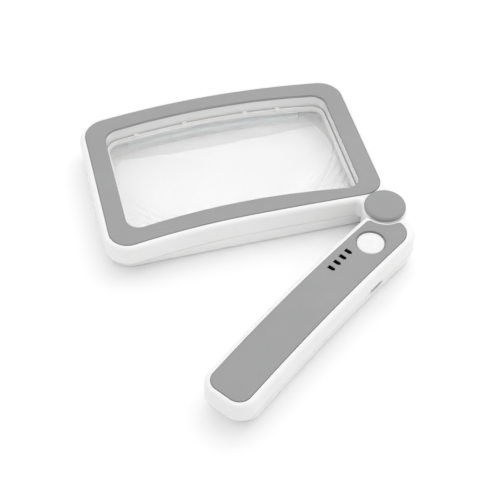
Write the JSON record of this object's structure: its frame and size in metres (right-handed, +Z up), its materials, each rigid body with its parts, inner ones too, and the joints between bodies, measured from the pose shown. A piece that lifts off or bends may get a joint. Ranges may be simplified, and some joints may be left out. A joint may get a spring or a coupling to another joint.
{
  "type": "illuminated page magnifier",
  "caption": "Rectangular page magnifier with a lit, framed lens head and a rechargeable handle that folds out on a corner hinge.",
  "frame": {"origin": "on the hinge axis, at the table under the hinge barrel", "axes": "+X along the lens head's long side (the head lies on the -X side), +Y across the head away from the handle, +Z up"},
  "size_m": [0.1479, 0.1976, 0.0218],
  "materials": {
    "white_shell": "fine satin white moulding",
    "grey_trim": "fine-grained neutral grey",
    "clear_lens": "polished clear acrylic",
    "frosted_white": "frosted translucent strip",
    "circuit_board": "green solder mask",
    "lamp_yellow": "small lamp package",
    "screw_steel": "zinc-plated steel",
    "spring_steel": "spring steel",
    "white_button": "satin white",
    "black_plastic": "black moulding",
    "dark_window": "tinted light guide",
    "socket_metal": "plated shell",
    "cell_wrap": "blue shrink wrap",
    "nickel": "nickel strip",
    "foam": "closed-cell foam"
  },
  "bodies": {
    "head": {"head_upper_shell": "white_shell", "head_lower_shell": "white_shell", "bezel": "grey_trim", "lens": "clear_lens", "diffuser_far": "frosted_white", "diffuser_near": "frosted_white", "lamp_board_far": "circuit_board", "lamps_far": "lamp_yellow", "lamp_board_near": "circuit_board", "lamps_near": "lamp_yellow", "head_screws": "screw_steel", "hinge_cap": "grey_trim"},
    "handle": {"hinge_sleeve": "screw_steel", "hinge_washer": "spring_steel", "hinge_nut": "screw_steel", "handle_upper_shell": "white_shell", "handle_lower_shell": "white_shell", "handle_cover": "grey_trim", "handle_screws": "screw_steel", "switch_body": "black_plastic", "control_board": "circuit_board", "control_chip": "black_plastic", "board_stands": "white_shell", "charging_socket": "socket_metal", "socket_tongue": "black_plastic", "battery_cell": "cell_wrap", "battery_tabs": "nickel", "battery_pad": "foam", "indicator_windows": "dark_window", "indicator_lamps": "lamp_yellow"},
    "button": {"power_button": "white_button"},
    "plunger": {"switch_plunger": "black_plastic"}
  },
  "joints": [
    {"name": "handle_fold", "type": "hinge", "parent": "head", "child": "handle", "pos_m": [0, 0, 0], "axis": [0, 0, 1], "range_deg": [-35.4, 99]},
    {"name": "button_press", "type": "slide", "parent": "handle", "child": "button", "axis": [0, 0, -1], "range_m": [0, 0.0006], "stiffness_N_per_m": 2500},
    {"name": "plunger_press", "type": "slide", "parent": "handle", "child": "plunger", "axis": [0, 0, -1], "range_m": [0, 0.0008]}
  ],
  "couplings": [
    {"joint": "plunger_press", "follows": "button_press", "ratio": 1}
  ]
}
